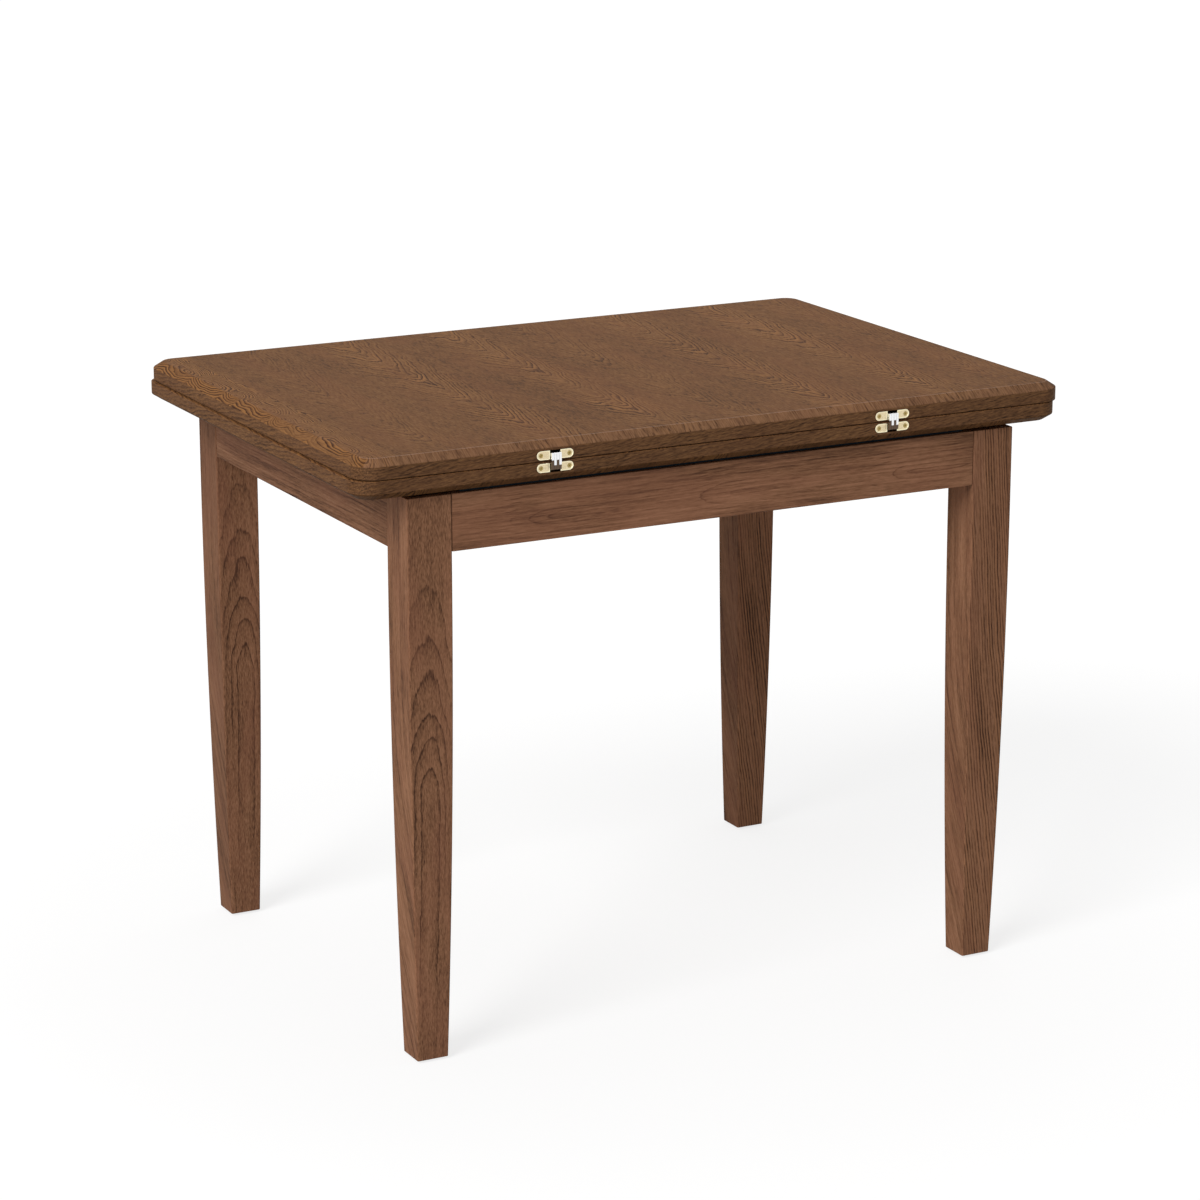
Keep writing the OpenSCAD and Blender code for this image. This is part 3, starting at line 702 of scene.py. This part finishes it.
def fillet(before, corner, after, radius, steps):
    """Points of an arc that rounds a corner of a profile."""
    u = (Vector(before) - Vector(corner)).normalized()
    v = (Vector(after) - Vector(corner)).normalized()
    angle = u.angle(v)
    reach = radius / math.tan(angle / 2)
    centre = Vector(corner) + (u + v).normalized() * (radius / math.sin(angle / 2))
    start = Vector(corner) + u * reach - centre
    turn = start.angle_signed(Vector(corner) + v * reach - centre)
    return [
        tuple(centre + Matrix.Rotation(-turn * i / steps, 2) @ start) for i in range(steps + 1)
    ]


def box(bm, low, high):
    """A plain box, for cutters and hidden joints."""
    points = [Vector((x, y, z)) for z in (low[2], high[2]) for y in (low[1], high[1])
              for x in (low[0], high[0])]
    v = [bm.verts.new(p) for p in points]
    for f in ((0, 2, 3, 1), (4, 5, 7, 6), (0, 1, 5, 4), (2, 6, 7, 3), (0, 4, 6, 2), (1, 3, 7, 5)):
        bm.faces.new([v[i] for i in f])


def round_edges(bm, edges, radius):
    """Rounds edges in two steps."""
    bmesh.ops.bevel(
        bm, geom=edges, offset=radius, segments=2, affect="EDGES", profile=0.5,
        clamp_overlap=True,
    )


def soft_box(bm, low, high, radius):
    """A box with rounded edges."""
    start = set(bm.edges)
    box(bm, low, high)
    round_edges(bm, [e for e in bm.edges if e not in start], radius)


def cut(obj, cutter):
    """Takes the cutter's shape out of obj and removes the cutter."""
    mod = obj.modifiers.new("cut", "BOOLEAN")
    mod.operation = "DIFFERENCE"
    mod.solver = "EXACT"
    mod.object = cutter
    bpy.context.view_layer.update()
    done = bpy.data.meshes.new_from_object(
        obj.evaluated_get(bpy.context.evaluated_depsgraph_get())
    )
    obj.modifiers.remove(mod)
    old = obj.data
    obj.data = done
    bpy.data.meshes.remove(old)
    bpy.data.objects.remove(cutter)


def softened(node, material, radius, body):
    """A copy of a CAD node with its hard edges rounded, standing for that node."""
    bm = bmesh.new()
    bm.from_mesh(nodes[node].data)
    bmesh.ops.remove_doubles(bm, verts=bm.verts, dist=1e-6)
    bmesh.ops.dissolve_limit(bm, angle_limit=math.radians(1), verts=bm.verts, edges=bm.edges)
    hard = math.radians(40)
    edges = [e for e in bm.edges if len(e.link_faces) == 2 and e.calc_face_angle(0) > hard]
    round_edges(bm, edges, radius)
    dress(loose(node + "_soft", bm), [material], body, node)


# Legs: a square that draws in towards the foot in a smooth curve


def leg_inset(z):
    if z >= TAPER_TOP:
        return 0.0
    return FOOT_INSET * ((TAPER_TOP - z) / (TAPER_TOP - GLIDE)) ** 2


def build_leg(side, end, sx, sy):
    """One leg, in rings at levels of (height, how far its rounded end draws in)."""
    centre = (sx * (FRAME_X - LEG / 2), sy * (FRAME_Y - LEG / 2))
    foot = LEG_END_ROUND
    levels = [(GLIDE, foot), (GLIDE + foot * 0.3, foot * 0.3), (GLIDE + foot, 0.0)]
    steps = 40
    for i in range(1, steps + 1):
        levels.append((GLIDE + foot + (TAPER_TOP - GLIDE - foot) * i / steps, 0.0))
    levels += [
        (TAPER_TOP + 12 * MM, 0.0), (FRAME_TOP - LEG_END_ROUND, 0.0),
        (FRAME_TOP - 0.25 * MM, 0.25 * MM), (FRAME_TOP, LEG_END_ROUND),
    ]
    rings = []
    for z, pull in levels:
        half = LEG / 2 - leg_inset(z) - pull
        rings.append(round_rect(half, half, LEG_ROUND, z, centre, steps=4))
    bm = bmesh.new()
    loft(bm, rings)
    name = f"leg_{end}_{side}"
    dress(
        loose(name + "_shaped", bm), leg_woods(name, sx, sy), "frame", name,
        lambda face: int(abs(face.normal.x) > abs(face.normal.y)),
    )


for side, sx in (("left", -1), ("right", 1)):
    for end, sy in (("front", -1), ("back", 1)):
        build_leg(side, end, sx, sy)


# Aprons, with their tenons


def build_apron(name, sx, sy, material):
    """The apron on the side of the table that sx or sy gives as -1 or 1."""
    sign = sx or sy
    reach, outer = (FRAME_X, FRAME_Y) if sy else (FRAME_Y, FRAME_X)
    half = reach - LEG - APRON_JOINT
    outer -= APRON_RECESS
    middle = sign * (outer - APRON_T / 2)
    mid_z = FRAME_TOP - APRON_H / 2

    def corners(along, across, up):
        """The low and high corner of a box, from its spans."""
        spans = [sorted(span) for span in ((along, across, up) if sy else (across, along, up))]
        return [low for low, _ in spans], [high for _, high in spans]

    bm = bmesh.new()
    low, high = corners(
        (-half, half), (sign * outer, sign * (outer - APRON_T)), (FRAME_TOP - APRON_H, FRAME_TOP)
    )
    soft_box(bm, low, high, APRON_ROUND)
    for end in (-1, 1):
        low, high = corners(
            (end * (half - MM), end * (half + TENON_L)),
            (middle - TENON_T / 2, middle + TENON_T / 2),
            (mid_z - TENON_H / 2, mid_z + TENON_H / 2),
        )
        box(bm, low, high)
    dress(loose(name + "_shaped", bm), [material], "frame", name)


build_apron("apron_front", 0, -1, walnut_long)
build_apron("apron_back", 0, 1, walnut_long)
build_apron("apron_left", -1, 0, walnut_short)
build_apron("apron_right", 1, 0, walnut_short)


# Leaves: a band, a bevel on the outer face, and soft corners between them

# how far above or below the seam a leaf's pockets start, end, and end behind their lip
POCKET_LOW = 1.9 * MM
POCKET_HIGH = 13.3 * MM
SWING_HIGH = 14.3 * MM
# the order of a leaf's materials
FLAT, LONG_BEVEL, END_BEVEL, ARRIS, MATE, LONG_EDGE, SHORT_EDGE, SEAM = range(8)


def leaf_profile():
    """(inset, height above the mating face) from the mating face to the outer face."""
    thick = LEAF_T - SEAM_GAP / 2
    band = LEAF_T - BEVEL_H - SEAM_GAP / 2
    mating = fillet((0.01, 0), (0, 0), (0, 0.01), MATE_ROUND, 3)
    middle = fillet((0, 0), (0, band), (BEVEL_W, thick), BAND_ROUND, 4)
    outer = fillet((0, band), (BEVEL_W, thick), (0.1, thick), ARRIS_ROUND, 5)
    # narrow borders keep the flat faces' shading apart from the rounded edges
    return [(4.5 * MM, 0.0), *mating, *middle, *outer, (BEVEL_W + 6 * MM, thick)]


def hinge_cutters(x, up):
    """The seat of one hinge cup: a plate recess with round ends, and a deep pocket.

    Behind a thin lip the pocket is higher, so that the links' heels can swing past.
    """
    end = PLATE_H / 2 + 0.25 * MM
    span = PLATE_L / 2 - PLATE_H / 2
    steps = 16
    outline = []
    for sx, start in ((1, -90), (-1, 90)):
        for i in range(steps + 1):
            angle = math.radians(start + 180 * i / steps)
            outline.append((x + sx * span + end * math.cos(angle),
                            SEAM_Z + up * PLATE_Z + end * math.sin(angle)))
    bm = bmesh.new()
    loft(bm, [[Vector((px, y, pz)) for px, pz in outline]
              for y in (FOLD_Y - 2 * MM, FOLD_Y + PLATE_T)])
    cutters = [loose("cutter", bm)]
    half = CUP_OPEN / 2 + CUP_WALL + 0.05 * MM
    for front, back, high in (
        (-2.5 * MM, CUP_DEPTH + CUP_BACK + 0.1 * MM, POCKET_HIGH), (1 * MM, 18 * MM, SWING_HIGH),
    ):
        z = sorted((SEAM_Z + up * POCKET_LOW, SEAM_Z + up * high))
        bm = bmesh.new()
        box(bm, (x - half, FOLD_Y + front, z[0]), (x + half, FOLD_Y + back, z[1]))
        cutters.append(loose("cutter", bm))
    return cutters


def build_leaf(name, up, body, outer, mate):
    """One leaf. outer holds the woods of its flat face, long bevels, end bevels and arris.

    The hinge edge is set back a little, which leaves a fine joint when the top is open.
    """
    rings = []
    for inset, rise in leaf_profile():
        rings.append(round_rect(
            LEAF_X - inset, LEAF_Y - JOINT / 4 - inset, CORNER_R - inset,
            SEAM_Z + up * (SEAM_GAP / 2 + rise), (up * LEAF_STEP / 2, JOINT / 4), steps=14,
        ))
    bm = bmesh.new()
    loft(bm, rings)
    obj = loose(name + "_shaped", bm)
    for x in (-HINGE_X, HINGE_X):
        for cutter in hinge_cutters(x, up):
            cut(obj, cutter)

    # where the bevel materials start; on the lower leaf the painted shade begins 1 mm before the
    # bevel
    bevel_start = LEAF_T - BEVEL_H + (1.2 if up > 0 else -1.0) * MM

    def pick(face):
        """A face's material, by how far it faces out and how far it is from the seam."""
        rise = up * (face.center.z - SEAM_Z)
        out = up * face.normal.z
        long_side = abs(face.normal.y) > abs(face.normal.x)
        if out < -0.6:
            return MATE
        # the upper leaf's mating fillet is painted dark, the painted shade of the seam
        if out < -0.1 and up > 0:
            return SEAM
        if out > 0.995:
            return FLAT
        if out > 0.87:
            # only arris faces turned to the front take the lighter material, the painted glint
            return ARRIS if face.normal.y < -0.03 else FLAT
        # on the upper leaf the long bevels carry the painted sheen; on the lower leaf every bevel
        # and the arris carry painted shade
        if out > 0.3 or rise > bevel_start:
            return LONG_BEVEL if long_side else END_BEVEL
        return LONG_EDGE if long_side else SHORT_EDGE

    dress(obj, [*outer, mate, oak_long, oak_short, oak_seam_painted_shade], body, name, pick)


build_leaf(
    "upper_leaf", 1, "upper_top", [oak_top, oak_top_bevel_painted_sheen, oak_top_end, oak_top_arris_painted_glint],
    oak_mate_upper,
)
# all bevels and the arris of the lower leaf take the painted shade
build_leaf(
    "lower_leaf", -1, "lower_top", [oak_under] + [oak_under_bevel_painted_shade] * 3, oak_mate_lower
)


# Hinges

# (inset, depth) in millimetres of a plate's section: back, edge, lip and sunk field
PLATE_SECTION = (
    (0.0, PLATE_T / MM), (0.0, 0.7), (0.12, 0.4), (0.4, 0.22), (0.8, 0.22), (1.1, 0.34),
    (1.25, 0.5),
)
# (radius, depth) in millimetres of a countersink, from in front of the plate to behind it
SINK_SECTION = ((3.1, -1.0), (2.85, 0.4), (1.3, 2.0), (1.3, 4.0))
# (share of the head's radius, depth in millimetres) of a screw, from its dish to its tip
SCREW_SECTION = ((0.5, 0.16), (0.82, 0.04), (0.95, 0.05), (1.0, 0.25), (0.56, 1.7), (0.5, 11.5))
SCREW_R = 2.45 * MM
# the order of a cup's materials
FIELD, RIM, INSIDE, SINK = range(4)


def inset_outline(points, amount):
    """A convex outline moved inwards, point by point."""
    count = len(points)
    out = []
    for i in range(count):
        a, b, c = (Vector(points[(i + k) % count]) for k in (-1, 0, 1))
        u = (b - a).normalized()
        v = (c - b).normalized()
        n1 = Vector((-u.y, u.x))
        n2 = Vector((-v.y, v.x))
        m = (n1 + n2).normalized()
        out.append(tuple(b + m * (amount / max(m.dot(n1), 0.3))))
    return out


def plate_half(bm, x, z, sign):
    """One half of a hinge plate, from the opening to its round end: a lip round a sunk field."""
    end = PLATE_H / 2
    inner = CUP_OPEN / 2
    span = PLATE_L / 2 - end
    steps = 24
    points = [(inner, -end)]
    for i in range(steps + 1):
        angle = math.radians(-90 + 180 * i / steps)
        points.append((span + end * math.cos(angle), end * math.sin(angle)))
    points.append((inner, end))
    rings = []
    for amount, depth in PLATE_SECTION:
        outline = inset_outline(points, amount * MM) if amount else points
        y = FOLD_Y + depth * MM
        rings.append([Vector((x + sign * px, y, z + pz)) for px, pz in outline])
    loft(bm, rings)


def build_cup(side, sx, level, up, body):
    """One hinge cup: its plate in two halves with countersinks, and the walls behind it."""
    x = sx * HINGE_X
    z = SEAM_Z + up * PLATE_Z
    plates = bmesh.new()
    sinks = bmesh.new()
    for sign in (-1, 1):
        plate_half(plates, x, z, sign)
        loft(sinks, [
            circle(x + sign * SCREW_X, FOLD_Y + depth * MM, z, radius * MM)
            for radius, depth in SINK_SECTION
        ])
    obj = loose(f"cup_{side}_{level}_shaped", plates)
    cut(obj, loose("cutter", sinks))
    bm = bmesh.new()
    bm.from_mesh(obj.data)
    low, high = z - PLATE_H / 2, z + PLATE_H / 2
    back = FOLD_Y + CUP_DEPTH
    for sign in (-1, 1):
        wall = sorted((x + sign * CUP_OPEN / 2, x + sign * (CUP_OPEN / 2 + CUP_WALL)))
        soft_box(bm, (wall[0], FOLD_Y + PLATE_T * 0.8, low), (wall[1], back + CUP_BACK, high),
                 CUP_ROUND)
    half = CUP_OPEN / 2 + 0.1 * MM
    soft_box(bm, (x - half, back, low), (x + half, back + CUP_BACK, high), CUP_ROUND)
    bm.to_mesh(obj.data)
    bm.free()

    def pick(face):
        offset = abs(face.center.x - x)
        # the faces inside the cup take the painted shade
        if offset < CUP_OPEN / 2 + 0.02 * MM or face.center.y > FOLD_Y + PLATE_T + 0.1 * MM:
            return INSIDE
        # the countersinks take the darker screw brass: painted shade round each screw
        if face.normal.y > -0.9 and math.hypot(offset - SCREW_X, face.center.z - z) < 3 * MM:
            return SINK
        return FIELD if face.normal.y < -0.99 and face.center.y > FOLD_Y + 0.45 * MM else RIM

    dress(obj, [brass, brass_rim, cup_inside_painted_shade, brass_dark], body, f"cup_{side}_{level}", pick)


def build_screws(level, up, body):
    """Sunk screw heads, each a shallow dish with a cross cut in it."""
    bm = bmesh.new()
    # each bar of the crosses is a cutter of its own, because the bars overlap
    bars = (bmesh.new(), bmesh.new())
    bar = Vector((1.4, 1.0, 0.3)) * MM
    first_turn = 0.35
    front = FOLD_Y + 0.45 * MM
    for hx in (-HINGE_X, HINGE_X):
        for side in (-1, 1):
            cx = hx + side * SCREW_X
            cz = SEAM_Z + up * PLATE_Z
            loft(bm, [
                circle(cx, front + depth * MM, cz, SCREW_R * share)
                for share, depth in SCREW_SECTION
            ])
            place = Matrix.Translation((cx, front, cz))
            for cutter, turn in zip(bars, (first_turn, first_turn + math.pi / 2)):
                start = set(cutter.verts)
                box(cutter, -bar, bar)
                new = [v for v in cutter.verts if v not in start]
                matrix = place @ Matrix.Rotation(turn + side, 4, "Y")
                bmesh.ops.transform(cutter, matrix=matrix, verts=new)
    obj = loose(f"hinge_screws_{level}_shaped", bm)
    for cutter in bars:
        cut(obj, loose("cutter", cutter))
    dress(obj, [brass_dark], body, f"hinge_screws_{level}")


def link_profile():
    """Side view of one link plate, pinned in the leaf above Z = 0: (y, z) in millimetres.

    From the eye round the pin it goes over the heel to the knee in front of the leaves, down to
    the arm's eye, and back up past a nook at each end of the knee's inner side.
    """
    knee_r, eye_r, nook_r = 1.9, 1.8, 0.6
    knee_y, inner_y, arm_y = -1.6, -0.9, 0.6
    arm_z, heel = 8.3, 3.8
    pin_y = PIN_Y / MM
    pin_z = PIN_Z / MM
    points = []

    def arc(cy, cz, r, start, stop, steps=8):
        for i in range(steps + 1):
            a = math.radians(start + (stop - start) * i / steps)
            points.append((cy + r * math.cos(a), cz + r * math.sin(a)))

    arc(pin_y, pin_z, eye_r, -90, 90, 12)
    points.append((2.6, pin_z + eye_r + 0.2))
    arc(knee_y, pin_z + heel, knee_r, 80, 180)
    arc(knee_y, -arm_z, knee_r, 180, 270)
    arc(arm_y, -arm_z, eye_r, -90, 90, 10)
    arc(inner_y + nook_r, -arm_z + eye_r + nook_r, nook_r, 270, 180, 4)
    arc(inner_y + nook_r, pin_z - eye_r - nook_r, nook_r, 180, 90, 4)
    return points


def build_links(side, sx, level, up, material):
    """Two of the four link plates of a hinge: those of the upper and lower leaf take turns."""
    bm = bmesh.new()
    outline = link_profile()
    first = 1 if up > 0 else 0
    half = 1.6 * MM
    for i in (first, first + 2):
        x = sx * HINGE_X + (i - 1.5) * LINK_PITCH
        start = set(bm.faces)
        face = bm.faces.new([
            bm.verts.new((x - half, FOLD_Y + py * MM, SEAM_Z + up * pz * MM))
            for py, pz in outline
        ])
        grown = bmesh.ops.extrude_face_region(bm, geom=[face])
        moved = [v for v in grown["geom"] if isinstance(v, bmesh.types.BMVert)]
        bmesh.ops.translate(bm, verts=moved, vec=(2 * half, 0, 0))
        faces = [f for f in bm.faces if f not in start]
        bmesh.ops.recalc_face_normals(bm, faces=faces)
        round_edges(
            bm, [e for f in faces if abs(f.normal.x) > 0.9 for e in f.edges], LINK_ROUND
        )
    name = f"link_{side}_{level}"
    dress(loose(name + "_shaped", bm), [material], name, name)


for side, sx in (("left", -1), ("right", 1)):
    build_cup(side, sx, "upper", 1, "upper_top")
    build_cup(side, sx, "lower", -1, "lower_top")
    build_links(side, sx, "upper", 1, steel_upper)
    build_links(side, sx, "lower", -1, steel_lower)
build_screws("upper", 1, "upper_top")
build_screws("lower", -1, "lower_top")


# Pieces under the top keep their CAD shape, with soft edges and their own materials

for node in ("rail_left", "rail_right", "stop_front", "stop_back"):
    softened(node, beech_y, 0.8 * MM, "frame")
for end in ("front", "back"):
    for side in ("left", "right"):
        softened(f"block_{end}_{side}", beech_z, 0.6 * MM, "frame")
for node in ("carriage_board", "cleat_left", "cleat_right"):
    softened(node, beech_y, 0.6 * MM, "lower_top")
for node in ("felt_front", "felt_back", "felt_left", "felt_right"):
    softened(node, felt_black, 0.7 * MM, "frame")
softened("stop_pads", rubber_black, 0.6 * MM, "frame")
softened("foot_glides", rubber_black, 0.4 * MM, "frame")
softened("block_nuts", steel, 0.4 * MM, "frame")
for node in (
    "block_bolts", "block_washers", "block_screws", "carriage_screws", "hinge_pins_lower",
    "hinge_pins_upper",
):
    for slot in nodes[node].material_slots:
        slot.link = "OBJECT"
        slot.material = steel


# Floor, light and camera


def white_floor(name, base, near, far, share):
    """Lit like a plain surface, and seen by the camera and in reflections as near white.

    share of what is seen is plain white, which grows from near the middle to far from it.
    """
    n = Nodes(bpy.data.materials.new(name))
    matt = n.add("ShaderNodeBsdfDiffuse")
    matt.inputs[0].default_value = (base, base, base, 1)
    glow = n.add("ShaderNodeEmission")
    glow.inputs[0].default_value = (1, 1, 1, 1)
    n.link(n.range(n.length(n.place()), 0.7, 2.2, near, far), glow.inputs[1])
    blend = n.mix_shaders(share, matt.outputs[0], glow.outputs[0])
    n.link(n.mix_shaders(n.seen(), matt.outputs[0], blend), n.out.inputs[0])
    return n.owner


bm = bmesh.new()
bmesh.ops.create_grid(bm, x_segments=2, y_segments=2, size=14)
floor_mesh = bpy.data.meshes.new("floor")
bm.to_mesh(floor_mesh)
bm.free()
floor = bpy.data.objects.new("floor", floor_mesh)
floor.data.materials.append(white_floor("floor", 0.8, 1.12, 1.24, 0.7))
bpy.context.scene.collection.objects.link(floor)

# the world lights softly, and is seen as plain white
bpy.context.scene.world = bpy.data.worlds.new("world")
n = Nodes(bpy.context.scene.world, "ShaderNodeOutputWorld")
sky = []
for colour, strength in (((1.0, 0.99, 0.98, 1), 0.3), ((1, 1, 1, 1), 1.0)):
    background = n.add("ShaderNodeBackground")
    background.inputs[0].default_value = colour
    background.inputs[1].default_value = strength
    sky.append(background.outputs[0])
n.link(n.mix_shaders(n.seen(), *sky), n.out.inputs[0])


def lamp(kind, name, place, target, power, size):
    """A soft lamp aimed at a point: an area disc, or a sun whose size is its angle."""
    data = bpy.data.lights.new(name, kind)
    data.energy = power
    if kind == "SUN":
        data.angle = math.radians(size)
    else:
        data.shape = "DISK"
        data.size = size
    obj = bpy.data.objects.new(name, data)
    obj.location = place
    aim = Vector(target) - Vector(place)
    obj.rotation_euler = aim.to_track_quat("-Z", "Y").to_euler()
    obj.visible_camera = False
    bpy.context.scene.collection.objects.link(obj)


lamp("SUN", "key", (-3.2, -1.5, 2.5), (0, 0, 0), 2.36, 30)
lamp("AREA", "near", (-2.3, -1.2, 0.9), (-0.4, -0.3, 0.4), 10, 1.2)
lamp("AREA", "top", (0.4, 0.9, 3.6), (0, 0, 0.7), 22, 2.6)

# the photograph's camera, found from the legs and the edges of the top
SCALE = 0.9963
YAW = 0.4828
PITCH = 0.2645
FOCAL_PIXELS = 3773.4
FRAME_PIXELS = 1200
SENSOR = 36.0

lens = bpy.data.cameras.new("camera")
lens.sensor_width = SENSOR
lens.lens = FOCAL_PIXELS / FRAME_PIXELS * SENSOR
lens.clip_end = 60
camera = bpy.data.objects.new("camera", lens)
bpy.context.scene.collection.objects.link(camera)
bpy.context.scene.camera = camera
camera.location = Vector((-2.17586, -4.15662, 1.72171)) * SCALE
look = Vector((math.sin(YAW) * math.cos(PITCH), math.cos(YAW) * math.cos(PITCH), -math.sin(PITCH)))
camera.rotation_euler = look.to_track_quat("-Z", "Y").to_euler()

bpy.context.scene.view_settings.view_transform = "Standard"
